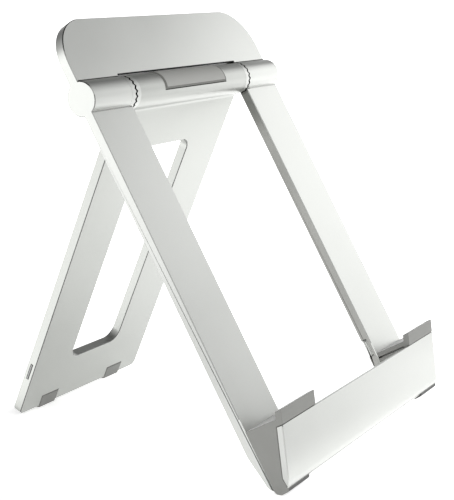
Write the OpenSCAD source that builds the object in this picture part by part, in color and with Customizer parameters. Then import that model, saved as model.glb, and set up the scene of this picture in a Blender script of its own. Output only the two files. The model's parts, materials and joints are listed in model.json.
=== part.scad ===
// Folding tablet stand: a front frame with a tray, and a rear leg that turns on a barrel hinge.
// Millimetres, +Z up, +X to the right of someone facing the stand, front towards -Y.
// The origin is on the table, at the middle of the stand's footprint.

/* [Overall] */
// Overall width
stand_w = 150; // [145:1:155]
// Height of the hinge axis above the table
axis_z = 153.8; // [151:0.1:156]
// Lean of the front frame, from the table, in degrees
front_lean = 61.9; // [61:0.1:63]
// Lean of the rear leg, from the table, in degrees
leg_lean = 64.2; // [63.5:0.1:64.7]

/* [Front frame] */
// Thickness of the header and the rails
frame_t = 4.7; // [4.4:0.1:5]
// Half the width of the opening between the rails
opening_half = 47; // [47:0.1:50]
// Height of the header above the hinge axis, along the frame
header_h = 34.7; // [28:0.1:45]
// Radius of the header's top corners
header_r = 20; // [5:1:24]
// Distance along the rails, from the hinge axis, to where their backs start to taper
taper_s = 158.3; // [154:0.1:160]
// Angle of that taper, in degrees
taper_a = 10.8; // [9:0.1:12]

/* [Tray] */
// Thickness of the lip
lip_t = 3; // [2.8:0.1:3.4]
// Lean of the lip from upright, in degrees
lip_lean = 5.5; // [4:0.1:7]
// Distance of the lip's top outer edge in front of the hinge axis
lip_y = 89.1; // [88.5:0.1:90]
// Height of the lip's top edge above the table
lip_z = 29.6; // [27:0.1:31]
// Thickness of the tray's floor
floor_t = 3; // [2.8:0.1:3.4]
// Height of the tray's floor above the table, on the front feet
foot_h = 1.1; // [1:0.1:1.3]
// Radius of the bend under the rails
rear_bend_r = 4; // [3:0.5:5]
// Radius of the bend under the lip
front_bend_r = 5; // [4:0.5:5.5]
// Radius inside the tray
inner_bend_r = 1.8; // [1.5:0.1:2.2]

/* [Tray pads] */
// Distance along the frame, from the hinge axis, to the ledge that a tablet stands on
ledge_s = 148.7; // [146:0.1:149.4]
// Height of the pad's cap above the ledge
cap_h = 2.9; // [2:0.1:4]
// Length of each front foot
foot_l = 18; // [14:1:22]

/* [Rear leg] */
// Thickness of the leg
leg_t = 4.5; // [4.2:0.1:4.7]
// Half the width of the leg
leg_half = 46.4; // [46:0.1:46.4]
// Length of the leg from the hinge axis to its bottom edge
leg_l = 168.8; // [168.5:0.1:168.9]
// Half the width of the leg's window
window_half = 18.8; // [12:0.1:24]
// Distance from the hinge axis to the top of the window
window_top = 28.4; // [24:0.1:40]
// Distance from the hinge axis to the bottom of the window
window_bottom = 144.1; // [120:0.1:146]
// Radius of the window's corners
window_r = 5.8; // [2:0.1:8]
// Radius of the leg's bottom corners
leg_r = 3; // [1:0.5:4]

/* [Hinge] */
// Radius of the barrel
barrel_r = 7.3; // [7.3:0.1:7.5]
// Radius of the hinge pins
pin_r = 3; // [2.8:0.1:3]
// Number of teeth on each detent ring
teeth = 20; // [16:2:24]
// Height of the teeth
tooth_h = 0.7; // [0.4:0.05:0.7]

/* [Hidden] */
$fn = 64;

// Clearances
running = 0.04;       // radial, between a hinge pin and what it turns in
press = 0.01;         // radial, between a pressed piece and its seat
tooth_gap = 0.8;      // along the axis, between facing teeth: more than their height
knuckle_gap = 0.7;    // radial, around the leg's part of the barrel
bore_play = 0.05;     // radial, around the pins inside the leg's barrel

// Hinge stations along +X, mirrored for the left side
seam_x = 46.4;                                       // middle of the toothed seam
ring_face = seam_x - tooth_gap / 2 + tooth_h / 2;    // tips of the leg's teeth
seat_face = seam_x + tooth_gap / 2 - tooth_h / 2;    // tips of the frame's teeth
ring_back = 43.8;
seat_back = 49;
tooth_in_r = 4.4;
tooth_land = 0.1;     // flat tip of a tooth at the rim
bush_r = 4.3;
washer_x = [seat_face, 47];
bush_x = [47.1, 57.1];
clip_x = [57.6, 66.4];
pin_x = [27, 67];
spring_x = [67.1, 69.2];
bore_end = 69.4;
clip_t = 0.85;
key_w = 1.4;
key_r = 5.4;
screw_x = 34.5;
screw_r = 1.45;
screw_head_r = 2.75;
screw_head = [4.9, 6.8];
screw_tip = 1.6;
screw_socket_r = 1.5;
screw_sink_r = 3.5;
screw_sink = 4.8;

// Barrel pad
bpad_half = 24.7;
bpad_in_r = 6.3;
bpad_out_r = 7.65;
bpad_from = 2;        // degrees up from straight ahead
bpad_sweep = 124;     // over the leg's top, to the same height behind

// Leg details
leg_fillet = 3;
leg_foot_x = 26;
leg_foot_w = 12;
leg_foot_up = 6;
leg_foot_down = 3.4;
leg_foot_proud = 0.25;
blade_s = [141, 148.8];
blade_t = 0.7;
blade_in = 3;
blade_out = 0.35;
slot_play = 0.05;

// Snap groove in each rail, which takes the leg's blade when the stand is folded
groove_s = [140.7, 148.9];
groove_half = 0.5;
groove_deep = 0.9;
ramp_from = 1;
ramp_deep = 0.5;

// Tray pad details
pad_gap = 0.3;        // between a pad and the opening's edge
ledge_t = 2.1;        // thickness of the ledge above the undercut
undercut_x = 2.5;     // depth of the undercut in the pad's inner end
floor_edge = 84.4;    // where the opening stops, in front of the hinge axis
slot_top = 7.6;       // height of the top of the slot for a foot
slot_lip_z = 7.3;     // height where the slot meets the lip's inside
slot_slope = 0.61;    // forward run of the slot's front wall for each unit down
plug_play = 0.06;     // between the pad and the slot
sole_y = [85.4, 87.6];

frame_tilt = 90 - front_lean;
leg_tilt = 90 - leg_lean;
half_t = frame_t / 2;
leg_half_t = leg_t / 2;
half_w = stand_w / 2;
floor_in = foot_h + floor_t;
eps = 0.02;

// The footprint's middle is the origin, so the axis stands off it by half the difference of the two depths
lip_out_bottom = lip_y + (lip_z - foot_h - front_bend_r) * tan(lip_lean);
depth_front = lip_out_bottom + 0.02;
foot_tail = (axis_z + (leg_half_t + leg_foot_proud) * sin(leg_tilt)) / cos(leg_tilt);
depth_back = min(foot_tail, leg_l + leg_foot_down) * sin(leg_tilt)
    + (leg_half_t + leg_foot_proud) * cos(leg_tilt);
axis_y = (depth_front - depth_back) / 2;
lip_s = lip_y * cos(front_lean) + (axis_z - lip_z) * sin(front_lean);

// Side-view points as [y, z], with y from the hinge axis and z from the table
function on_frame(s, t) = [
    -s * cos(front_lean) - t * sin(front_lean),
    axis_z - s * sin(front_lean) + t * cos(front_lean)
];
function frame_face(z, t) = on_frame((axis_z + t * cos(front_lean) - z) / sin(front_lean), t);
function lip_face(z, depth) = [
    -lip_y - (lip_z - z) * tan(lip_lean) + depth / cos(lip_lean), z
];
// The point on a face of the lip that is s along the frame
function lip_at(s, depth) =
    let(
        reach = lip_y + lip_z * tan(lip_lean) - depth / cos(lip_lean),
        drop = tan(lip_lean) * cos(front_lean) + sin(front_lean)
    )
    lip_face((reach * cos(front_lean) + axis_z * sin(front_lean) - s) / drop, depth);
function unit(v) = v / norm(v);
// Points of the arc of radius r that rounds corner b between a and c
function rounded(a, b, c, r, n = 10) =
    let(
        u = unit(a - b),
        v = unit(c - b),
        half = acos(u * v) / 2,
        centre = b + unit(u + v) * r / sin(half),
        from = b + u * r / tan(half) - centre,
        to = b + v * r / tan(half) - centre,
        start = atan2(from[1], from[0]),
        turn = atan2(to[1], to[0]) - start,
        sweep = turn > 180 ? turn - 360 : turn < -180 ? turn + 360 : turn
    )
    [for (i = [0 : n]) centre + r * [cos(start + sweep * i / n), sin(start + sweep * i / n)]];

// The tray's inside surface from the rail to the lip's top, drawn d inside the metal
function tray_inside(d, top_s) =
    let(
        p_top = on_frame(top_s, half_t + d),
        p_rail = frame_face(floor_in + d, half_t + d),
        p_lip = lip_face(floor_in + d, lip_t + d),
        p_end = lip_at(lip_s - d, lip_t + d)
    )
    concat(
        [p_top],
        rounded(p_top, p_rail, p_lip, inner_bend_r),
        rounded(p_rail, p_lip, p_end, inner_bend_r),
        [p_end]
    );

// A side-view outline, standing in the Y-Z plane and running along X from x0 to x1
module side_view(x0, x1) {
    translate([x0, axis_y, 0])
        rotate([90, 0, 90])
            linear_extrude(height = x1 - x0)
                children();
}

module at_hinge() {
    translate([0, axis_y, axis_z])
        children();
}

// Upright plate coordinates: +Z up along the plate, +Y out of its back
module on_frame_plate() {
    at_hinge()
        rotate([-frame_tilt, 0, 0])
            children();
}

module on_leg_plate() {
    at_hinge()
        rotate([leg_tilt, 0, 0])
            children();
}

// The axis of the right pin's screw, square to the leg and out of its back
module on_screw() {
    on_leg_plate()
        translate([screw_x, 0, 0])
            rotate([-90, 0, 0])
                children();
}

// A piece made for the right side, or its mirror image
module side(right) {
    if (right)
        children();
    else
        mirror([1, 0, 0])
            children();
}

// A tube or rod along the hinge axis, from x[0] to x[1]
module along_axis(x, r, hole = 0) {
    at_hinge()
        translate([x[0], 0, 0])
            rotate([0, 90, 0])
                difference() {
                    cylinder(h = x[1] - x[0], r = r);
                    if (hole > 0)
                        translate([0, 0, -1])
                            cylinder(h = x[1] - x[0] + 2, r = hole);
                }
}

module frame_outline() {
    top_back = on_frame(-header_h, -half_t);
    top_front = on_frame(-header_h, half_t);
    lip_out = lip_face(lip_z, 0);
    inside = tray_inside(0, ledge_s);
    lip_foot = lip_face(foot_h, 0);
    taper_top = on_frame(taper_s, -half_t);
    taper_run = (taper_top[1] - foot_h) / tan(front_lean - taper_a);
    taper_foot = [taper_top[0] - taper_run, foot_h];
    polygon(concat(
        [top_back, top_front],
        [for (i = [1 : len(inside) - 1]) inside[i]],
        [lip_out],
        rounded(lip_out, lip_foot, taper_foot, front_bend_r, 16),
        rounded(lip_foot, taper_foot, taper_top, rear_bend_r),
        rounded(taper_foot, taper_top, top_back, 4 * rear_bend_r)
    ));
}

// The opening, from under the header down to the tray's floor
module opening_outline() {
    reach = barrel_r + 1;
    polygon([
        on_frame(0, reach),
        on_frame((floor_edge - reach * sin(front_lean)) / cos(front_lean), reach),
        [-floor_edge, -1],
        frame_face(-1, -reach),
        on_frame(0, -reach)
    ]);
}

// What the header's round corners leave out of its plate
module header_corners() {
    corner_z = header_h - header_r;
    for (dir = [-1, 1])
        on_frame_plate()
            translate([dir * (half_w - header_r), -frame_t, corner_z])
                rotate([-90, 0, 0])
                    difference() {
                        translate([dir > 0 ? 0 : -header_r - 1, -header_r - 1, 0])
                            cube([header_r + 1, header_r + 1, 2 * frame_t]);
                        translate([0, 0, -1])
                            cylinder(h = 2 * frame_t + 2, r = header_r, $fn = 96);
                    }
}

module snap_groove() {
    on_frame_plate()
        translate([opening_half, 0, -groove_s[1]])
            linear_extrude(height = groove_s[1] - groove_s[0])
                union() {
                    translate([-1, -groove_half])
                        square([1 + groove_deep, 2 * groove_half]);
                    polygon([
                        [-1, ramp_from], [ramp_deep, ramp_from],
                        [groove_deep, half_t + 1], [-1, half_t + 1]
                    ]);
                }
}

// The slot at the tray's end, through which the pad reaches down to its foot
module foot_slot() {
    polygon([
        frame_face(slot_top, half_t - 0.05),
        frame_face(-1, half_t - 0.05),
        lip_face(slot_lip_z, lip_t) - [slot_slope * (slot_lip_z + 1), slot_lip_z + 1],
        lip_face(slot_lip_z, lip_t) + [0.2, 0.2 / slot_slope]
    ]);
}

module front_frame() {
    color("silver")
        difference() {
            union() {
                side_view(-half_w, half_w)
                    frame_outline();
                along_axis([-half_w, half_w], barrel_r);
            }
            header_corners();
            side_view(-opening_half, opening_half)
                opening_outline();
            along_axis([-opening_half, opening_half], barrel_r + knuckle_gap);
            for (right = [false, true])
                side(right) {
                    along_axis([seam_x, seat_back], barrel_r + press);
                    along_axis([seam_x, bore_end], bush_r + press);
                    at_hinge()
                        translate([seam_x, -key_w / 2, -key_r])
                            cube([clip_x[1] + 0.4 - seam_x, key_w, key_r]);
                    snap_groove();
                    side_view(half_w - foot_l, half_w + 1)
                        foot_slot();
                }
        }
}

// One moulded block that fills the tray's end: a ledge square to the frame, a cap over the lip
// and a plug that ends in the foot
module tray_pad(right) {
    inside = tray_inside(eps, ledge_s);
    slot_out = lip_face(slot_lip_z, lip_t + plug_play);
    foot_x = half_w - foot_l + plug_play;
    color([0.6, 0.61, 0.59])
        side(right)
            difference() {
                union() {
                    side_view(opening_half + pad_gap, half_w)
                        polygon(concat(inside, [
                            lip_at(lip_s - eps, 0),
                            lip_at(ledge_s - cap_h, 0),
                            lip_at(ledge_s - cap_h, lip_t),
                            lip_at(ledge_s, lip_t)
                        ]));
                    side_view(foot_x, half_w)
                        polygon([
                            frame_face(slot_top + 1, half_t + plug_play),
                            frame_face(foot_h, half_t + plug_play),
                            [-sole_y[0], 0],
                            [-sole_y[1], 0],
                            [-sole_y[1] - 0.9, 0.5],
                            [-sole_y[1] - 2.9, 2.3],
                            [-sole_y[1] - 2.85, 3.4],
                            slot_out,
                            slot_out + [1, 1]
                        ]);
                }
                side_view(opening_half, opening_half + pad_gap + undercut_x)
                    polygon([
                        on_frame(ledge_s + ledge_t, 0),
                        on_frame(lip_s + 0.1, 0),
                        on_frame(lip_s + 0.1, 30),
                        on_frame(ledge_s + ledge_t, 30)
                    ]);
            }
}

// Triangular grooves cut across the end face at z = 0 of a ring that lies along Z
module tooth_grooves(phase) {
    pitch = 360 / teeth;
    groove_w = 2 * barrel_r * sin(pitch / 2) - tooth_land;
    for (i = [0 : teeth - 1])
        rotate([0, 0, pitch * (i + phase)])
            translate([tooth_in_r, 0, 0])
                rotate([90, 0, 90])
                    linear_extrude(height = barrel_r)
                        polygon([
                            [-groove_w / 2, 0], [0, -tooth_h], [groove_w / 2, 0],
                            [groove_w / 2, 1], [-groove_w / 2, 1]
                        ]);
}

module detent_ring(right) {
    color("silver")
        side(right)
            at_hinge()
                translate([ring_face, 0, 0])
                    rotate([0, 90, 0])
                        difference() {
                            translate([0, 0, ring_back - ring_face])
                                cylinder(h = ring_face - ring_back, r = barrel_r);
                            translate([0, 0, ring_back - ring_face - 1])
                                cylinder(h = 5, r = pin_r + bore_play);
                            tooth_grooves(0);
                        }
}

module detent_seat(right) {
    color("silver")
        side(right)
            at_hinge()
                translate([seat_face, 0, 0])
                    rotate([0, -90, 0])
                        difference() {
                            translate([0, 0, seat_face - seat_back])
                                cylinder(h = seat_back - seat_face, r = barrel_r);
                            translate([0, 0, seat_face - seat_back - 1])
                                cylinder(h = 5, r = bush_r + press);
                            tooth_grooves(0.5);
                        }
}

module hinge_bush(right) {
    color("goldenrod")
        side(right)
            along_axis(bush_x, bush_r, pin_r + running);
}

module thrust_washer(right) {
    color("goldenrod")
        side(right)
            along_axis(washer_x, bush_r - 0.1, pin_r + 2 * running);
}

// A spring-steel wrap that grips the pin; its tail sits in the knuckle's keyway
module friction_clip(right) {
    tail_w = key_w - 0.2;
    gap_w = 2.4;
    color("dimgray")
        side(right)
            difference() {
                union() {
                    along_axis(clip_x, pin_r + running + clip_t);
                    at_hinge()
                        translate([clip_x[0], -tail_w / 2, -key_r + 0.1])
                            cube([clip_x[1] - clip_x[0], tail_w, key_r - pin_r - 0.3]);
                }
                along_axis([clip_x[0] - 1, clip_x[1] + 1], pin_r + running);
                at_hinge()
                    translate([clip_x[0] - 1, tail_w / 2, -pin_r - 2])
                        cube([clip_x[1] - clip_x[0] + 2, gap_w, pin_r]);
            }
}

// Two disc springs, rim to rim, between the pin's end and the end of the bore
module pin_spring(right) {
    disc_t = 0.5;
    disc_rise = 0.45;
    inner = 1.6;
    outer = bush_r - 0.2;
    color("dimgray")
        side(right)
            at_hinge()
                translate([spring_x[0], 0, 0])
                    rotate([0, 90, 0])
                        for (flip = [0, 1])
                            translate([0, 0, flip * (2 * (disc_t + disc_rise) + 0.05)])
                                mirror([0, 0, flip])
                                    rotate_extrude()
                                        polygon([
                                            [inner, 0], [outer, disc_rise],
                                            [outer, disc_rise + disc_t], [inner, disc_t]
                                        ]);
}

// The cove between the leg's barrel and one of its faces
module leg_cove(n = 8) {
    cove_y = leg_half_t + leg_fillet;
    cove_z = -sqrt(pow(barrel_r + leg_fillet, 2) - pow(cove_y, 2));
    sweep = atan2(-cove_z, cove_y);
    polygon(concat(
        [[0, 0], [0, cove_z]],
        [for (i = [0 : n])
            [cove_y, cove_z] + leg_fillet * [-cos(sweep * i / n), sin(sweep * i / n)]]
    ));
}

module leg_blank() {
    translate([-leg_half, 0, 0])
        rotate([90, 0, 90])
            linear_extrude(height = 2 * leg_half)
                union() {
                    translate([-leg_half_t, -leg_l])
                        square([leg_t, leg_l]);
                    leg_cove();
                    mirror([1, 0])
                        leg_cove();
                }
}

module window_outline() {
    w = window_half - window_r;
    low = -window_bottom + window_r;
    high = -window_top - window_r;
    union() {
        translate([-w, -window_bottom])
            square([2 * w, window_bottom - window_top]);
        translate([-window_half, low])
            square([2 * window_half, high - low]);
        for (x = [-w, w])
            for (z = [low, high])
                translate([x, z])
                    circle(r = window_r);
    }
}

module leg_corner() {
    difference() {
        translate([leg_half - leg_r, -leg_l - 1])
            square([leg_r + 1, leg_r + 1]);
        translate([leg_half - leg_r, -leg_l + leg_r])
            circle(r = leg_r);
    }
}

// Cuts a flat outline, drawn as [x, z], right through the leg
module through_leg() {
    translate([0, leg_t, 0])
        rotate([90, 0, 0])
            linear_extrude(height = 2 * leg_t)
                children();
}

module barrel_pad_ring(inner, outer, half, play) {
    at_hinge()
        rotate([0, 90, 0])
            rotate([0, 0, 270 - bpad_from - bpad_sweep - play])
                rotate_extrude(angle = bpad_sweep + 2 * play)
                    translate([inner, -half])
                        square([outer - inner, 2 * half]);
}

module rear_leg() {
    color("silver")
        difference() {
            union() {
                on_leg_plate()
                    leg_blank();
                along_axis([-ring_back, ring_back], barrel_r);
            }
            on_leg_plate() {
                through_leg()
                    window_outline();
                for (right = [false, true])
                    side(right) {
                        through_leg()
                            leg_corner();
                        through_leg()
                            translate([leg_foot_x - leg_foot_w / 2, -leg_l - 1])
                                square([leg_foot_w, leg_foot_up + 1]);
                        translate([leg_half - blade_in, -blade_t / 2 - slot_play, -blade_s[1] - slot_play])
                            cube([blade_in + 1, blade_t + 2 * slot_play,
                                blade_s[1] - blade_s[0] + 2 * slot_play]);
                    }
            }
            along_axis([-leg_half - 1, leg_half + 1], pin_r + bore_play);
            for (right = [false, true])
                side(right) {
                    along_axis([ring_back, leg_half + 1], barrel_r + press);
                    on_screw()
                        cylinder(h = 2 * barrel_r, r = screw_r + bore_play);
                    on_screw()
                        translate([0, 0, screw_sink])
                            cylinder(h = barrel_r, r = screw_sink_r);
                }
            barrel_pad_ring(bpad_in_r, bpad_out_r + 1, bpad_half + slot_play, 0.4);
        }
}

module barrel_pad() {
    color([0.6, 0.61, 0.59])
        barrel_pad_ring(bpad_in_r + press, bpad_out_r, bpad_half, 0);
}

// A pad in a notch of the leg's bottom edge, with a flat sole on the table
module leg_foot(right) {
    foot_t = leg_t + 2 * leg_foot_proud;
    color([0.6, 0.61, 0.59])
        side(right)
            difference() {
                on_leg_plate()
                    translate([leg_foot_x - leg_foot_w / 2 + slot_play, -foot_t / 2, -leg_l - leg_foot_down])
                        cube([leg_foot_w - 2 * slot_play, foot_t, leg_foot_up + leg_foot_down - slot_play]);
                translate([0, 0, -5])
                    cube([stand_w, stand_w, 5]);
            }
}

module hinge_pin(right) {
    bevel = 0.5;
    color("gainsboro")
        side(right)
            difference() {
                at_hinge()
                    translate([pin_x[0], 0, 0])
                        rotate([0, 90, 0])
                            rotate_extrude()
                                polygon([
                                    [0, 0], [pin_r - bevel, 0], [pin_r, bevel],
                                    [pin_r, pin_x[1] - pin_x[0] - bevel],
                                    [pin_r - bevel, pin_x[1] - pin_x[0]], [0, pin_x[1] - pin_x[0]]
                                ]);
                on_screw()
                    translate([0, 0, screw_tip - 0.2])
                        cylinder(h = pin_r, r = screw_r + 0.1);
            }
}

module pin_screws() {
    color("dimgray")
        for (right = [false, true])
            side(right)
                on_screw()
                    difference() {
                        union() {
                            translate([0, 0, screw_tip])
                                cylinder(h = screw_head[0] - screw_tip + 0.1, r = screw_r);
                            translate([0, 0, screw_head[0]])
                                cylinder(h = screw_head[1] - screw_head[0], r = screw_head_r);
                        }
                        translate([0, 0, screw_head[1] - 1.2])
                            cylinder(h = 2, r = screw_socket_r, $fn = 6);
                    }
}

// A blade in the leg's edge, which snaps into the rail's groove when the stand is folded
module snap_blade(right) {
    color("dimgray")
        side(right)
            on_leg_plate()
                translate([leg_half, 0, -blade_s[1]])
                    linear_extrude(height = blade_s[1] - blade_s[0])
                        polygon([
                            [-blade_in + slot_play, -blade_t / 2],
                            [0, -blade_t / 2],
                            [blade_out, -blade_t / 6],
                            [blade_out, blade_t / 6],
                            [0, blade_t / 2],
                            [-blade_in + slot_play, blade_t / 2]
                        ]);
}

front_frame();
tray_pad(false);  // tray_pad_left
tray_pad(true);  // tray_pad_right
detent_seat(false);  // detent_seat_left
detent_seat(true);  // detent_seat_right
hinge_bush(false);  // hinge_bush_left
hinge_bush(true);  // hinge_bush_right
friction_clip(false);  // friction_clip_left
friction_clip(true);  // friction_clip_right
thrust_washer(false);  // thrust_washer_left
thrust_washer(true);  // thrust_washer_right
pin_spring(false);  // pin_spring_left
pin_spring(true);  // pin_spring_right
rear_leg();
barrel_pad();
leg_foot(false);  // leg_foot_left
leg_foot(true);  // leg_foot_right
detent_ring(false);  // detent_ring_left
detent_ring(true);  // detent_ring_right
hinge_pin(false);  // hinge_pin_left
hinge_pin(true);  // hinge_pin_right
pin_screws();
snap_blade(false);  // snap_blade_left
snap_blade(true);  // snap_blade_right
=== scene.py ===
import json
import math

import bmesh
import bpy
from mathutils import Matrix, Vector


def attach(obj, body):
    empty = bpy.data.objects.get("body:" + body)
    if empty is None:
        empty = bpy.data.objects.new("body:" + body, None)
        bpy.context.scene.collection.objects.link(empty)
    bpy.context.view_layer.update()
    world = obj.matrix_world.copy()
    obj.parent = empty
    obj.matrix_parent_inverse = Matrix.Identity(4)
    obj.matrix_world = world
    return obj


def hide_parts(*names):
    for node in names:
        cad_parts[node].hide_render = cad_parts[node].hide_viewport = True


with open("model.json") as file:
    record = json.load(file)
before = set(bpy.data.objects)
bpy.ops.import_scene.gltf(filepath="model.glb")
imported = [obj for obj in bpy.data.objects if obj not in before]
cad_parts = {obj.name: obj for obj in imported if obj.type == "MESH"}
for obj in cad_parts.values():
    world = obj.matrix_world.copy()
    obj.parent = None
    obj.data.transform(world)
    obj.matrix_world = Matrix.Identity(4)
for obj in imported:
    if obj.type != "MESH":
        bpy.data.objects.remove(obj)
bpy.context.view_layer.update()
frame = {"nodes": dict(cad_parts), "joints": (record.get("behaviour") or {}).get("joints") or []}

MM = 0.001
AXIS = Vector(frame["joints"][0]["pos_m"]) / MM

# ---------------------------------------------------------------- sizes, in millimetres

# The front frame and the leg: how they lean, their thickness, and the opening between the rails
FRONT_LEAN = math.radians(61.9)
FRAME_T = 4.7
OPENING_HALF = 47.0
HALF_W = 75.0
LEG_TILT = math.radians(90 - 64.2)
LEG_T = 4.5
LEG_L = 168.8

# The tray's lip, whose top is LIP_Y in front of the hinge axis, and its floor
LIP_Y = 89.1
LIP_Z = 29.6
LIP_T = 3.0
LIP_LEAN = math.radians(5.5)
FLOOR_IN = 4.1
INNER_BEND_R = 1.8

# The tray pads: the ledge is LEDGE_S down the frame from the hinge axis and LEDGE_T thick over the
# undercut, and the cap over the lip is CAP_H thick
LEDGE_S = 148.7
LEDGE_T = 2.1
CAP_H = 2.9
UNDERCUT_X = 2.5
PAD_GAP = 0.3
SKIN = 0.02
PAD_ROUND = 0.3

# The front feet: the end of each tray pad's plug, which comes through a slot in the floor. SOLE_Y is
# how far the sole's back and front are from the hinge axis, and TOE how far ahead and up it rounds
FOOT_H = 1.1
FOOT_L = 18.0
SLOT_TOP = 7.6
SLOT_LIP_Z = 7.3
PLUG_PLAY = 0.06
SOLE_Y = (85.4, 87.6)
TOE = ((0.9, 0.5), (3.2, 2.0), (3.15, 3.3))

# The barrel: its gap in the frame, and the crease where it meets the plates, both given painted shade
GAP_R = 8.6
CREASE_R = (7.36, 7.75)

# The barrel pad
BPAD_HALF = 24.7
BPAD_IN_R = 6.31
BPAD_OUT_R = 7.65
BPAD_EDGE_R = 7.22
BPAD_FROM = 2.0
BPAD_SWEEP = 124.0
BPAD_SLOPE = 1.2
BPAD_STEPS = (24, 30)
SLOPE_STEPS = 6
BORDER_STEPS = 5

# The toothed rings on both sides of each seam
SEAM_X = 46.4
SEAM_GAP = 1.15
TEETH = 20
TOOTH_STEPS = 16
TOOTH_H = 0.95
TOOTH_IN_R = 4.4
RING_R = 7.32
RING_BACK = 43.2
RING_BORE_R = 3.05
SEAT_BACK = 49.6
SEAT_BORE_R = 4.35

# The leg's feet
LEG_FOOT_X = 26.0
LEG_FOOT_W = 11.9
LEG_FOOT_UP = 5.95
LEG_FOOT_DOWN = 3.4
LEG_FOOT_PROUD = 0.25
LEG_FOOT_ROUND = 0.4

# The chamfers of the metal and the rounded edges of the silicone: their sizes, the least angle of
# an edge that gets one, and the least angle that stays sharp in the metal
CHAMFER = 0.34
CHAMFER_FROM = math.radians(32)
FACET = math.radians(22)
ROUND_FROM = math.radians(30)
ROUND_STEPS = 3


# ---------------------------------------------------------------- node helpers

def link(tree, a, out, b, into):
    tree.links.new(a.outputs[out], b.inputs[into])


def new_material(name):
    material = bpy.data.materials.new(name)
    material.use_nodes = True
    return material, *tree_of(material)


def tree_of(material):
    tree = material.node_tree
    return tree, tree.nodes["Principled BSDF"]


def noise(tree, scale, detail=2.0, rough=0.5, offset=(0, 0, 0)):
    coords = tree.nodes.new("ShaderNodeTexCoord")
    mapping = tree.nodes.new("ShaderNodeMapping")
    mapping.inputs["Location"].default_value = offset
    texture = tree.nodes.new("ShaderNodeTexNoise")
    texture.inputs["Scale"].default_value = scale
    texture.inputs["Detail"].default_value = detail
    texture.inputs["Roughness"].default_value = rough
    link(tree, coords, "Object", mapping, "Vector")
    link(tree, mapping, "Vector", texture, "Vector")
    return texture


def spread(tree, texture, low, high):
    """The middle range of a noise, from low to high."""
    node = tree.nodes.new("ShaderNodeMapRange")
    node.inputs["From Min"].default_value = 0.3
    node.inputs["From Max"].default_value = 0.7
    node.inputs["To Min"].default_value = low
    node.inputs["To Max"].default_value = high
    link(tree, texture, "Fac", node, "Value")
    return node


def tint(tree, texture, dark, light):
    node = tree.nodes.new("ShaderNodeMix")
    node.data_type = "RGBA"
    node.inputs["A"].default_value = (*dark, 1)
    node.inputs["B"].default_value = (*light, 1)
    link(tree, spread(tree, texture, 0.0, 1.0), "Result", node, "Factor")
    return node


def bump(tree, shader, heights, distance, strength=1.0):
    node = tree.nodes.new("ShaderNodeBump")
    node.inputs["Distance"].default_value = distance
    node.inputs["Strength"].default_value = strength
    link(tree, heights, "Fac", node, "Height")
    link(tree, node, "Normal", shader, "Normal")


def combined(tree, operation, first, second=0.0):
    """The output of a math node; second is a number or another node's output."""
    node = tree.nodes.new("ShaderNodeMath")
    node.operation = operation
    tree.links.new(first, node.inputs[0])
    if isinstance(second, float):
        node.inputs[1].default_value = second
    else:
        tree.links.new(second, node.inputs[1])
    return node.outputs[0]


def below(tree, value, limit):
    return combined(tree, "LESS_THAN", value, limit)


def above(tree, value, limit):
    return combined(tree, "GREATER_THAN", value, limit)


def both(tree, first, second):
    return combined(tree, "MULTIPLY", first, second)


def vector_math(tree, operation, vector, constant=(0, 0, 0)):
    node = tree.nodes.new("ShaderNodeVectorMath")
    node.operation = operation
    node.inputs[1].default_value = constant
    tree.links.new(vector, node.inputs[0])
    return node


def place_in_object(tree, origin=(0, 0, 0)):
    """The surface point in the object's own frame, measured from origin."""
    coords = tree.nodes.new("ShaderNodeTexCoord")
    mapping = tree.nodes.new("ShaderNodeMapping")
    mapping.inputs["Location"].default_value = [-c for c in origin]
    link(tree, coords, "Object", mapping, "Vector")
    return mapping.outputs["Vector"]


def true_normal(tree):
    return tree.nodes.new("ShaderNodeNewGeometry").outputs["True Normal"]


def split_up(tree, vector):
    parts = tree.nodes.new("ShaderNodeSeparateXYZ")
    tree.links.new(vector, parts.inputs["Vector"])
    return parts.outputs


def repaint(tree, shader, mask, colour):
    """Mixes a colour over the base colour where the mask is 1."""
    node = tree.nodes.new("ShaderNodeMix")
    node.data_type = "RGBA"
    node.inputs["B"].default_value = (*colour, 1)
    tree.links.new(mask, node.inputs["Factor"])
    tree.links.new(shader.inputs["Base Color"].links[0].from_socket, node.inputs["A"])
    tree.links.new(node.outputs["Result"], shader.inputs["Base Color"])


# ---------------------------------------------------------------- materials

# Colours as a darker and a lighter tone, then the painted shade and painted highlights mixed over them,
# with lengths in mm
SATIN_FRAME = (0.545, 0.555, 0.535), (0.575, 0.585, 0.565)
# The leg's satin is the frame's finish made darker: painted shade
SATIN_LEG_SHADED = (0.44, 0.45, 0.43), (0.47, 0.48, 0.46)
# The chamfers' colours: dark, as painted shade on the edge lines
CHAMFER_SHADE_COLOURS = (0.24, 0.245, 0.235), (0.28, 0.285, 0.275)
CHAMFER_HIGHLIGHT_TRAY = (0.5, 0.51, 0.49)
TRAY_TOP = 28.5
GAP_MARGIN = 0.1
GAP_SHADE_COLOUR = (0.02, 0.02, 0.02)
CREASE_SHADE_COLOUR = (0.06, 0.06, 0.06)
CREASE_MARGIN = 0.5
RAIL_SIDE_SHADE_COLOUR = (0.28, 0.28, 0.265)
RAIL_SIDE_SHADE_AMOUNT = 0.8
RAIL_SIDE_FACING = 0.95
SOLE_SHADE_COLOUR = (0.03, 0.03, 0.03)
SOLE_SHADE_AMOUNT = 0.85
SOLE_TOP = 3.3
SOLE_MARGIN = 0.4
LEDGE_HIGHLIGHT_COLOUR = (0.85, 0.85, 0.84)
LEDGE_FACING = 0.9


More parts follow.
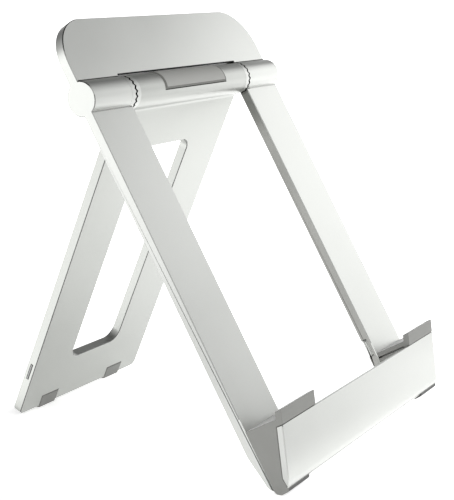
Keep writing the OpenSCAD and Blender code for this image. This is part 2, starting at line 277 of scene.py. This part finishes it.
def metal(name, colours, rough, grain_mm, grain_height_mm, offset=(0, 0, 0)):
    material, tree, shader = new_material(name)
    shader.inputs["Metallic"].default_value = 1.0
    broad = noise(tree, 28.0, offset=offset)
    grain = noise(tree, 1 / (grain_mm * MM), 3.0, 0.6, offset)
    speckle = tree.nodes.new("ShaderNodeMix")
    speckle.data_type = "RGBA"
    speckle.blend_type = "MULTIPLY"
    speckle.inputs["B"].default_value = (0.93, 0.93, 0.93, 1)
    link(tree, spread(tree, grain, 0.0, 1.0), "Result", speckle, "Factor")
    tree.links.new(tint(tree, broad, *colours).outputs["Result"], speckle.inputs["A"])
    tree.links.new(speckle.outputs["Result"], shader.inputs["Base Color"])
    link(tree, spread(tree, broad, *rough), "Result", shader, "Roughness")
    bump(tree, shader, grain, grain_height_mm * MM)
    return material


def satin_aluminium(name, offset, colours):
    return metal(name, colours, (0.33, 0.38), 0.22, 0.004, offset)


def chamfer_shade_and_highlight(name, shade=1.0):
    """Metal of the chamfers, darkened as painted shade along the edge lines, with a painted highlight
    low on the tray.
    """
    colours = [[shade * c for c in colour] for colour in CHAMFER_SHADE_COLOURS]
    material = metal(name, colours, (0.18, 0.24), 0.3, 0.001)
    tree, shader = tree_of(material)
    place = split_up(tree, place_in_object(tree))
    # Painted highlight: the chamfers low on the tray are lighter
    tray_highlight = both(tree, below(tree, place["Z"], TRAY_TOP * MM), below(tree, place["Y"], 0.0))
    repaint(tree, shader, tray_highlight, CHAMFER_HIGHLIGHT_TRAY)
    return material


def paint_gap_shade(material):
    """Paints shade in the gap around the leg's barrel, on the rails' inner sides and in the barrel's
    crease.
    """
    tree, shader = tree_of(material)
    from_axis = place_in_object(tree, AXIS * MM)
    place = split_up(tree, from_axis)
    across = vector_math(tree, "MULTIPLY", from_axis, (0, 1, 1)).outputs["Vector"]
    radius = vector_math(tree, "LENGTH", across).outputs["Value"]
    out = combined(tree, "ABSOLUTE", place["X"])
    between_rails = below(tree, out, (OPENING_HALF + GAP_MARGIN) * MM)
    # Painted shade in the gap around the barrel, between the rails
    repaint(tree, shader, both(tree, below(tree, radius, GAP_R * MM), between_rails), GAP_SHADE_COLOUR)

    # Painted shade on the rails' inner sides
    sideways = combined(tree, "ABSOLUTE", split_up(tree, true_normal(tree))["X"])
    inner_side = both(tree, above(tree, sideways, RAIL_SIDE_FACING), between_rails)
    repaint(tree, shader, combined(tree, "MULTIPLY", inner_side, RAIL_SIDE_SHADE_AMOUNT), RAIL_SIDE_SHADE_COLOUR)

    # Painted shade in the crease where the barrel meets the plates
    ring = both(
        tree, below(tree, radius, CREASE_R[1] * MM), above(tree, radius, CREASE_R[0] * MM)
    )
    crease = both(tree, ring, above(tree, place["Z"], 0.0))
    inside_ends = below(tree, out, (HALF_W - CREASE_MARGIN) * MM)
    repaint(tree, shader, both(tree, crease, inside_ends), CREASE_SHADE_COLOUR)
    return material


def silicone(name, dark, light, specular=0.45):
    material, tree, shader = new_material(name)
    broad = noise(tree, 60.0)
    grain = noise(tree, 1 / (0.18 * MM), 2.0, 0.6)
    tree.links.new(tint(tree, broad, dark, light).outputs["Result"], shader.inputs["Base Color"])
    link(tree, spread(tree, broad, 0.48, 0.56), "Result", shader, "Roughness")
    shader.inputs["Specular IOR Level"].default_value = specular
    bump(tree, shader, grain, 0.012 * MM, 0.6)
    return material


def paint_tray_pad_shade_and_highlight(material):
    """Paints shade on the soles of the front feet and a highlight on the top of the ledge."""
    tree, shader = tree_of(material)
    place = split_up(tree, place_in_object(tree))
    out = combined(tree, "ABSOLUTE", place["X"])
    inside_end = below(tree, out, (HALF_W - SOLE_MARGIN) * MM)
    # Painted shade on the soles
    sole = both(tree, below(tree, place["Z"], SOLE_TOP * MM), inside_end)
    repaint(tree, shader, combined(tree, "MULTIPLY", sole, SOLE_SHADE_AMOUNT), SOLE_SHADE_COLOUR)
    # Painted highlight on the faces that look up the frame: the top of the ledge
    along_frame = (0, math.cos(FRONT_LEAN), math.sin(FRONT_LEAN))
    facing = vector_math(tree, "DOT_PRODUCT", true_normal(tree), along_frame).outputs["Value"]
    repaint(tree, shader, above(tree, facing, LEDGE_FACING), LEDGE_HIGHLIGHT_COLOUR)
    return material


ALUMINIUM_FRAME = paint_gap_shade(satin_aluminium("aluminium_frame", (0, 0, 0), SATIN_FRAME))
ALUMINIUM_LEG = satin_aluminium("aluminium_leg", (0.31, 0.17, 0.05), SATIN_LEG_SHADED)
ALUMINIUM_TOOTHED = satin_aluminium("aluminium_toothed", (0.11, 0.07, 0.02), SATIN_FRAME)
CHAMFER_SHADE_FRAME = paint_gap_shade(chamfer_shade_and_highlight("chamfer_painted_shade_frame"))
# The leg's chamfers are darker still: more painted shade
CHAMFER_SHADE_LEG = chamfer_shade_and_highlight("chamfer_painted_shade_leg", 0.6)
# Near-black metal on the rings' teeth and bores: painted shade for the dark seam
SEAM_SHADE_METAL = metal(
    "painted_seam_shade", ((0.012, 0.012, 0.012), (0.02, 0.02, 0.02)), (0.6, 0.7), 0.3, 0.004
)
BRONZE = metal("bearing_bronze", ((0.50, 0.33, 0.14), (0.58, 0.40, 0.18)), (0.35, 0.5), 0.4, 0.01)
SPRING_STEEL = metal(
    "spring_steel", ((0.30, 0.30, 0.30), (0.38, 0.38, 0.38)), (0.30, 0.42), 0.3, 0.004
)
PIN_STEEL = metal("pin_steel", ((0.55, 0.55, 0.55), (0.62, 0.62, 0.62)), (0.18, 0.26), 0.3, 0.002)
SCREW_STEEL = metal(
    "screw_steel", ((0.10, 0.10, 0.105), (0.14, 0.14, 0.145)), (0.30, 0.42), 0.3, 0.004
)
# The barrel, tray and leg silicone greys differ as painted light and shade, set to each piece's shading
SILICONE_BARREL = silicone("silicone_barrel", (0.345, 0.347, 0.329), (0.367, 0.369, 0.351))
# A darker copy of the pad's silicone: painted shade on the barrel pad's sloping borders
SILICONE_BORDER_SHADE = silicone("silicone_border_painted_shade", (0.17, 0.172, 0.16), (0.19, 0.192, 0.18), 0.15)
SILICONE_TRAY = paint_tray_pad_shade_and_highlight(
    silicone("silicone_tray", (0.23, 0.232, 0.219), (0.25, 0.252, 0.238))
)
SILICONE_LEG = silicone("silicone_leg", (0.175, 0.177, 0.167), (0.193, 0.195, 0.184))

CAD_FINISH = {
    "front_frame": ALUMINIUM_FRAME,
    "rear_leg": ALUMINIUM_LEG,
    "pin_screws": SCREW_STEEL,
}
for end in ("left", "right"):
    CAD_FINISH[f"hinge_bush_{end}"] = BRONZE
    CAD_FINISH[f"thrust_washer_{end}"] = BRONZE
    CAD_FINISH[f"friction_clip_{end}"] = SPRING_STEEL
    CAD_FINISH[f"pin_spring_{end}"] = SPRING_STEEL
    CAD_FINISH[f"snap_blade_{end}"] = SPRING_STEEL
    CAD_FINISH[f"hinge_pin_{end}"] = PIN_STEEL


def finish_cad_nodes():
    for name, material in CAD_FINISH.items():
        node = frame["nodes"][name]
        node.data.materials.clear()
        node.data.materials.append(material)


# ---------------------------------------------------------------- edges of the metal

def cut_edges(name, material):
    """A fine chamfer along the edges of a CAD node, in a darker metal that paints shade on the edge
    lines.
    """
    node = frame["nodes"][name]
    node.data.materials.append(material)
    add_weld(node, 0.002, 0.4)
    bevel = node.modifiers.new("chamfer", "BEVEL")
    bevel.width = CHAMFER * MM
    bevel.segments = 1
    bevel.limit_method = "ANGLE"
    bevel.angle_limit = CHAMFER_FROM
    bevel.use_clamp_overlap = False
    bevel.material = 1
    split = node.modifiers.new("split", "EDGE_SPLIT")
    split.split_angle = FACET


def add_weld(piece, weld_mm, flat_degrees):
    """Joins doubled points and dissolves the edges inside flat faces, so that a bevel runs clean."""
    weld = piece.modifiers.new("weld", "WELD")
    weld.merge_threshold = weld_mm * MM
    planar = piece.modifiers.new("planar", "DECIMATE")
    planar.decimate_type = "DISSOLVE"
    planar.angle_limit = math.radians(flat_degrees)


# ---------------------------------------------------------------- making and finishing pieces

def add_object(name, data):
    thing = bpy.data.objects.new(name, data)
    bpy.context.scene.collection.objects.link(thing)
    return thing


def add_solid(name, shape):
    """Makes an object of a closed bmesh, with its faces turned outward."""
    bmesh.ops.recalc_face_normals(shape, faces=shape.faces)
    mesh = bpy.data.meshes.new(name)
    shape.to_mesh(mesh)
    shape.free()
    return add_object(name, mesh)


def prism(name, outline, x0, x1):
    """A solid with a side-view outline of (y, z) points, from x0 to x1."""
    shape = bmesh.new()
    near, far = [
        [shape.verts.new((x * MM, p.x * MM, p.y * MM)) for p in outline] for x in (x0, x1)
    ]
    shape.faces.new(near)
    shape.faces.new(list(reversed(far)))
    count = len(outline)
    for i in range(count):
        j = (i + 1) % count
        shape.faces.new((near[i], far[i], far[j], near[j]))
    return add_solid(name, shape)


def combine(piece, other, operation):
    cut = piece.modifiers.new("join", "BOOLEAN")
    cut.operation = operation
    cut.solver = "EXACT"
    cut.object = other
    bake(piece)
    bpy.data.objects.remove(other)


def bake(piece):
    """Turns the piece's modifiers into its mesh."""
    bpy.context.view_layer.update()
    shown = piece.evaluated_get(bpy.context.evaluated_depsgraph_get())
    mesh = bpy.data.meshes.new_from_object(shown)
    mesh.name = piece.name
    piece.modifiers.clear()
    piece.data = mesh


def round_edges(piece, radius_mm):
    add_weld(piece, 0.001, 0.5)
    bevel = piece.modifiers.new("round", "BEVEL")
    bevel.width = radius_mm * MM
    bevel.segments = ROUND_STEPS
    bevel.limit_method = "ANGLE"
    bevel.angle_limit = ROUND_FROM
    bevel.use_clamp_overlap = False
    bake(piece)
    smooth(piece)


def smooth(piece):
    for face in piece.data.polygons:
        face.use_smooth = True
    normals = piece.modifiers.new("normals", "WEIGHTED_NORMAL")
    normals.weight = 100


def mirrored(piece, name):
    mesh = piece.data.copy()
    mesh.transform(Matrix.Scale(-1, 4, (1, 0, 0)))
    mesh.flip_normals()
    twin = add_object(name, mesh)
    smooth(twin)
    return twin


def dress(piece, material, body, node):
    piece.data.materials.append(material)
    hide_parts(node)
    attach(piece, body)


# ---------------------------------------------------------------- tray pads

def on_frame(s, t):
    """The side-view point that is s down the frame from the hinge axis, and t out of its front."""
    return Vector((
        AXIS.y - s * math.cos(FRONT_LEAN) - t * math.sin(FRONT_LEAN),
        AXIS.z - s * math.sin(FRONT_LEAN) + t * math.cos(FRONT_LEAN),
    ))


def frame_face(z, t):
    """The point at height z on the plane that is t in front of the frame's middle."""
    s = (AXIS.z + t * math.cos(FRONT_LEAN) - z) / math.sin(FRONT_LEAN)
    return on_frame(s, t)


def lip_face(z, depth):
    """The point at height z on the plane that is depth behind the lip's front."""
    y = -LIP_Y - (LIP_Z - z) * math.tan(LIP_LEAN) + depth / math.cos(LIP_LEAN)
    return Vector((AXIS.y + y, z))


def lip_at(s, depth):
    """The point on the same plane that is s down the frame."""
    reach = LIP_Y + LIP_Z * math.tan(LIP_LEAN) - depth / math.cos(LIP_LEAN)
    drop = math.tan(LIP_LEAN) * math.cos(FRONT_LEAN) + math.sin(FRONT_LEAN)
    z = (reach * math.cos(FRONT_LEAN) + AXIS.z * math.sin(FRONT_LEAN) - s) / drop
    return lip_face(z, depth)


def rounded(a, b, c, radius, count=6):
    """The arc that rounds the corner at b on the way from a to c."""
    u = (a - b).normalized()
    v = (c - b).normalized()
    half = u.angle(v) / 2
    centre = b + (u + v).normalized() * radius / math.sin(half)
    first = b + u * radius / math.tan(half) - centre
    last = b + v * radius / math.tan(half) - centre
    start = math.atan2(first.y, first.x)
    turn = math.atan2(last.y, last.x) - start
    turn = (turn + math.pi) % (2 * math.pi) - math.pi
    angles = [start + turn * i / count for i in range(count + 1)]
    return [centre + radius * Vector((math.cos(a), math.sin(a))) for a in angles]


def tray_inside():
    """The tray's inner profile from the ledge to the lip's top, and how far down that top is."""
    half_t = FRAME_T / 2
    lip_s = LIP_Y * math.cos(FRONT_LEAN) + (AXIS.z - LIP_Z) * math.sin(FRONT_LEAN)
    top = on_frame(LEDGE_S, half_t + SKIN)
    at_rail = frame_face(FLOOR_IN + SKIN, half_t + SKIN)
    at_lip = lip_face(FLOOR_IN + SKIN, LIP_T + SKIN)
    end = lip_at(lip_s - SKIN, LIP_T + SKIN)
    return (
        [top]
        + rounded(top, at_rail, at_lip, INNER_BEND_R)
        + rounded(at_rail, at_lip, end, INNER_BEND_R)
        + [end]
    ), lip_s


def make_tray_pads():
    half_t = FRAME_T / 2
    inside, lip_s = tray_inside()
    block = prism("tray_cushion_right", inside + [
        lip_at(lip_s - SKIN, 0),
        lip_at(LEDGE_S - CAP_H, 0),
        lip_at(LEDGE_S - CAP_H, LIP_T),
        lip_at(LEDGE_S, LIP_T),
    ], OPENING_HALF + PAD_GAP, HALF_W)
    slot_out = lip_face(SLOT_LIP_Z, LIP_T + PLUG_PLAY)
    sole_back, sole_front = (Vector((AXIS.y - y, 0)) for y in SOLE_Y)
    toe = [sole_front + Vector((-ahead, up)) for ahead, up in TOE]
    plug = prism("plug", [
        frame_face(SLOT_TOP + 1, half_t + PLUG_PLAY),
        frame_face(FOOT_H, half_t + PLUG_PLAY),
        sole_back,
        sole_front,
        *toe,
        slot_out,
        slot_out + Vector((1, 1)),
    ], HALF_W - FOOT_L + PLUG_PLAY, HALF_W)
    combine(block, plug, "UNION")
    undercut = prism("undercut", [
        on_frame(LEDGE_S + LEDGE_T, 0),
        on_frame(lip_s + 0.1, 0),
        lip_at(lip_s + 0.1, LIP_T),
        lip_at(LEDGE_S + LEDGE_T, LIP_T),
    ], OPENING_HALF, OPENING_HALF + PAD_GAP + UNDERCUT_X)
    combine(block, undercut, "DIFFERENCE")
    round_edges(block, PAD_ROUND)
    left = mirrored(block, "tray_cushion_left")
    dress(block, SILICONE_TRAY, "frame", "tray_pad_right")
    dress(left, SILICONE_TRAY, "frame", "tray_pad_left")


# ---------------------------------------------------------------- barrel pad

def stations(low, high, edge, inner_steps):
    """Positions from low to high, close together within edge of either end."""
    fine = [edge * i / SLOPE_STEPS for i in range(SLOPE_STEPS)]
    length = high - low - 2 * edge
    middle = [low + edge + length * i / inner_steps for i in range(inner_steps + 1)]
    return [low + f for f in fine] + middle + [high - f for f in reversed(fine)]


def rise(value, low, high, edge):
    """How much of the pad's full height is reached at a distance from its borders, 0 to 1."""
    near = min(1.0, max(0.0, min(value - low, high - value) / edge))
    return math.sin(near * math.pi / 2) ** 0.8


def on_barrel(x, turn, radius):
    """A point at an angle up and over the barrel from its front."""
    a = math.radians(turn)
    return (x * MM, (AXIS.y - radius * math.cos(a)) * MM, (AXIS.z + radius * math.sin(a)) * MM)


def make_barrel_pad():
    """A wrap with sloping borders that stands slightly proud of the barrel."""
    slope_deg = math.degrees(BPAD_SLOPE / BPAD_OUT_R)
    x_range = -BPAD_HALF, BPAD_HALF, BPAD_SLOPE
    turn_range = BPAD_FROM, BPAD_FROM + BPAD_SWEEP, slope_deg
    xs = stations(*x_range, BPAD_STEPS[0])
    turns = stations(*turn_range, BPAD_STEPS[1])
    shape = bmesh.new()
    outer, inner = [], []
    for x in xs:
        out_row, in_row = [], []
        for turn in turns:
            up = min(rise(x, *x_range), rise(turn, *turn_range))
            radius = BPAD_EDGE_R + (BPAD_OUT_R - BPAD_EDGE_R) * up
            out_row.append(shape.verts.new(on_barrel(x, turn, radius)))
            in_row.append(shape.verts.new(on_barrel(x, turn, BPAD_IN_R)))
        outer.append(out_row)
        inner.append(in_row)

    last_x, last_t = len(xs) - 1, len(turns) - 1
    for i in range(last_x):
        for j in range(last_t):
            k, m = i + 1, j + 1
            face = shape.faces.new((outer[i][j], outer[k][j], outer[k][m], outer[i][m]))
            in_x = BORDER_STEPS <= i < last_x - BORDER_STEPS
            in_turn = BORDER_STEPS <= j < last_t - BORDER_STEPS
            # The border takes the darker silicone: painted shade along the pad's sloping edges
            face.material_index = 0 if in_x and in_turn else 1
            shape.faces.new((inner[i][j], inner[i][m], inner[k][m], inner[k][j]))
    rim = (
        [(i, 0) for i in range(last_x)]
        + [(last_x, j) for j in range(last_t)]
        + [(i, last_t) for i in range(last_x, 0, -1)]
        + [(0, j) for j in range(last_t, 0, -1)]
    )
    for (i, j), (k, m) in zip(rim, rim[1:] + rim[:1]):
        shape.faces.new((outer[i][j], inner[i][j], inner[k][m], outer[k][m]))
    piece = add_solid("barrel_cushion", shape)
    for face in piece.data.polygons:
        face.use_smooth = True
    dress(piece, SILICONE_BARREL, "leg", "barrel_pad")
    piece.data.materials.append(SILICONE_BORDER_SHADE)


# ---------------------------------------------------------------- toothed rings

def make_toothed_ring(name, side, facing, back, bore):
    """A ring with teeth on the face at the seam, which looks outward if facing is 1 and inward if -1."""
    level = SEAM_X - facing * SEAM_GAP / 2
    flat = level - facing * TOOTH_H / 2
    count = TEETH * TOOTH_STEPS
    shape = bmesh.new()
    rings = [[] for _ in range(5)]
    for i in range(count):
        a = 2 * math.pi * i / count
        wave = abs(i / TOOTH_STEPS % 1.0 * 2 - 1) * 2 - 1
        crest = level + wave * TOOTH_H / 2
        profile = ((RING_R, back), (RING_R, crest), (TOOTH_IN_R, flat), (bore, flat), (bore, back))
        for ring, (radius, x) in zip(rings, profile):
            y = AXIS.y + radius * math.sin(a)
            z = AXIS.z + radius * math.cos(a)
            ring.append(shape.verts.new((side * x * MM, y * MM, z * MM)))
    for k, near in enumerate(rings):
        far = rings[(k + 1) % len(rings)]
        for i in range(count):
            j = (i + 1) % count
            face = shape.faces.new((near[i], near[j], far[j], far[i]))
            face.smooth = k == 0
            # Every face but the outer one takes the second material, the near-black painted shade of the
            # seam
            face.material_index = 0 if k == 0 else 1
    for edge in shape.edges:
        edge.smooth = all(face.smooth for face in edge.link_faces)
    return add_solid(name, shape)


def make_detents():
    """At each seam the leg's ring faces outward and the frame's seat faces inward."""
    for side, end in ((-1, "left"), (1, "right")):
        ring = make_toothed_ring(f"ring_{end}", side, 1, RING_BACK, RING_BORE_R)
        dress(ring, ALUMINIUM_TOOTHED, "leg", f"detent_ring_{end}")
        # Painted shade: near-black on the teeth, so the seam reads dark
        ring.data.materials.append(SEAM_SHADE_METAL)
        seat = make_toothed_ring(f"seat_{end}", side, -1, SEAT_BACK, SEAT_BORE_R)
        dress(seat, ALUMINIUM_TOOTHED, "frame", f"detent_seat_{end}")
        seat.data.materials.append(SEAM_SHADE_METAL)


# ---------------------------------------------------------------- leg feet

def on_leg(u, t):
    """u up along the leg from the hinge axis, t out of its back."""
    return Vector((
        AXIS.y - u * math.sin(LEG_TILT) + t * math.cos(LEG_TILT),
        AXIS.z + u * math.cos(LEG_TILT) + t * math.sin(LEG_TILT),
    ))


def above_table(outline):
    """The part of an outline at or above the height 0."""
    kept = []
    for i, p in enumerate(outline):
        q = outline[(i + 1) % len(outline)]
        if p.y >= 0:
            kept.append(p)
        if (p.y >= 0) != (q.y >= 0):
            kept.append(p.lerp(q, p.y / (p.y - q.y)))
    return kept


def make_leg_feet():
    half = LEG_T / 2 + LEG_FOOT_PROUD
    low, high = -LEG_L - LEG_FOOT_DOWN, -LEG_L + LEG_FOOT_UP
    corners = ((low, -half), (low, half), (high, half), (high, -half))
    outline = above_table([on_leg(u, t) for u, t in corners])
    x0 = LEG_FOOT_X - LEG_FOOT_W / 2
    foot = prism("leg_shoe_right", outline, x0, x0 + LEG_FOOT_W)
    round_edges(foot, LEG_FOOT_ROUND)
    left = mirrored(foot, "leg_shoe_left")
    dress(foot, SILICONE_LEG, "leg", "leg_foot_right")
    dress(left, SILICONE_LEG, "leg", "leg_foot_left")


# ---------------------------------------------------------------- stage, light, camera

# Where the studio is lighter or darker: a direction, the cosines of the angles from it between
# which the change comes in, and its strength
WORLD_BASE = 0.61
WORLD_GLOWS = (
    ((0, 0, 1), 0.35, 0.05, 0.41),
    ((-0.12, 0, 1), 0.72, 0.93, -0.48),
    ((0.83, 0.555, 0), 0.8, 0.97, 0.4),
    ((-0.574, 0.819, 0), 0.9, 0.963, 1.38),
    ((0.75, -0.45, 0.48), 0.88, 0.98, 0.15),
    ((0.45, 0.65, 0.6), 0.75, 0.95, -0.42),
    ((0.74, 0.1, 0.68), 0.955, 0.993, -0.31),
    ((0.74, -0.67, 0.05), 0.965, 0.995, -0.25),
)
SUN_FROM = Vector((-0.4, -0.65, 0.65))
SUN_SPREAD = math.radians(50)
SUN_POWER = 0.65
SOFT_BOX_AT = Vector((0.5, -0.15, 0.2))
SOFT_BOX_AIM = Vector((0, -0.15, 0.2))
SOFT_BOX_SIZE = (0.35, 0.44)
SOFT_BOX_WATTS = 0.6

# The table's own even glow, and pools of painted light on it around the object. A pool is where two
# bands meet:
# each is a direction on the table, the metres along it between which the light comes in, and the
# strength it reaches
FLOOR_GLOW = 0.53
FLOOR_HALF = 15
FLOOR_LIGHT_POOLS = (
    (((1, 0, 0), 0.0, 0.2, 0.9), ((0, 1, 0), -0.15, -0.05, 0.9)),
    (((0.47, 0.88, 0), 0.0, 0.05, 1.12), ((-1, 0, 0), 0.042, 0.075, 1.12)),
    (((0.1, -1, 0), 0.07, 0.085, 0.65), ((0, -1, 0), 0.12, 0.1, 0.65)),
    (((1, 0, 0), -0.03, 0.15, 0.72), ((-0.3, 1, 0), -0.235, -0.19, 0.72)),
    (((0, -1, 0), -0.02, 0.0, 0.35), ((0, 1, 0), -0.09, -0.06, 0.35)),
    (((0, 1, 0), 0.085, 0.1, 0.3), ((-1, 0, 0), -0.02, 0.0, 0.3)),
)

# The camera, from the hinge axis
CAMERA_FROM_AXIS = Vector((-470.1, -314.1, 36.3)) * MM
CAMERA_TURN = (78.05, 2.05, -58.62)
CAMERA_LENS = 89.0
CAMERA_SHIFT = (-0.0107, 0.0265)


def make_camera():
    data = bpy.data.cameras.new("camera")
    data.sensor_fit = "AUTO"
    data.sensor_width = 36.0
    data.lens = CAMERA_LENS
    data.shift_x, data.shift_y = CAMERA_SHIFT
    data.clip_start = 0.01
    data.clip_end = 40
    camera = add_object("camera", data)
    camera.location = AXIS * MM + CAMERA_FROM_AXIS
    camera.rotation_euler = [math.radians(a) for a in CAMERA_TURN]
    bpy.context.scene.camera = camera


def glow(tree, vector, towards, start, end, amount):
    """Brightness that comes in between start and end along a direction."""
    dot = vector_math(tree, "DOT_PRODUCT", vector, towards)
    ramp = tree.nodes.new("ShaderNodeMapRange")
    ramp.interpolation_type = "SMOOTHSTEP"
    ramp.inputs["From Min"].default_value = start
    ramp.inputs["From Max"].default_value = end
    ramp.inputs["To Min"].default_value = 0.0
    ramp.inputs["To Max"].default_value = amount
    tree.links.new(dot.outputs["Value"], ramp.inputs["Value"])
    return ramp.outputs["Result"]


def make_floor():
    mesh = bpy.data.meshes.new("floor")
    shape = bmesh.new()
    bmesh.ops.create_grid(shape, x_segments=1, y_segments=1, size=FLOOR_HALF)
    shape.to_mesh(mesh)
    shape.free()
    floor = add_object("floor", mesh)
    material, tree, shader = new_material("paper")
    colour = tint(tree, noise(tree, 3.0), (0.88, 0.88, 0.88), (0.90, 0.90, 0.90))
    tree.links.new(colour.outputs["Result"], shader.inputs["Base Color"])
    shader.inputs["Roughness"].default_value = 0.9
    shader.inputs["Emission Color"].default_value = (1, 1, 1, 1)
    # The emission paints light on the table: an even glow and brighter pools around the object
    place = tree.nodes.new("ShaderNodeTexCoord").outputs["Object"]
    total = 0.0
    for across, along in FLOOR_LIGHT_POOLS:
        pool = combined(tree, "MINIMUM", glow(tree, place, *across), glow(tree, place, *along))
        total = combined(tree, "MAXIMUM", pool, total)
    strength = combined(tree, "ADD", total, FLOOR_GLOW)
    tree.links.new(strength, shader.inputs["Emission Strength"])
    mesh.materials.append(material)


def make_world():
    world = bpy.data.worlds.new("studio")
    bpy.context.scene.world = world
    world.use_nodes = True
    tree = world.node_tree
    back = tree.nodes["Background"]
    back.inputs["Color"].default_value = (1, 1, 1, 1)
    direction = tree.nodes.new("ShaderNodeTexCoord").outputs["Generated"]
    total = WORLD_BASE
    for towards, start, end, amount in WORLD_GLOWS:
        band = glow(tree, direction, Vector(towards).normalized(), start, end, amount)
        total = combined(tree, "ADD", band, total)
    tree.links.new(total, back.inputs["Strength"])


def make_lamps():
    lamp = bpy.data.lights.new("overhead", "SUN")
    lamp.energy = SUN_POWER
    lamp.angle = SUN_SPREAD
    sun = add_object("overhead", lamp)
    sun.rotation_euler = SUN_FROM.to_track_quat("Z", "Y").to_euler()
    light = bpy.data.lights.new("right", "AREA")
    light.shape = "RECTANGLE"
    light.size, light.size_y = SOFT_BOX_SIZE
    light.energy = SOFT_BOX_WATTS
    box = add_object("right", light)
    box.location = SOFT_BOX_AT
    box.rotation_euler = (SOFT_BOX_AIM - SOFT_BOX_AT).to_track_quat("-Z", "Y").to_euler()


finish_cad_nodes()
cut_edges("front_frame", CHAMFER_SHADE_FRAME)
cut_edges("rear_leg", CHAMFER_SHADE_LEG)
make_tray_pads()
make_barrel_pad()
make_leg_feet()
make_detents()
make_camera()
make_floor()
make_world()
make_lamps()
bpy.context.scene.view_settings.view_transform = "Standard"
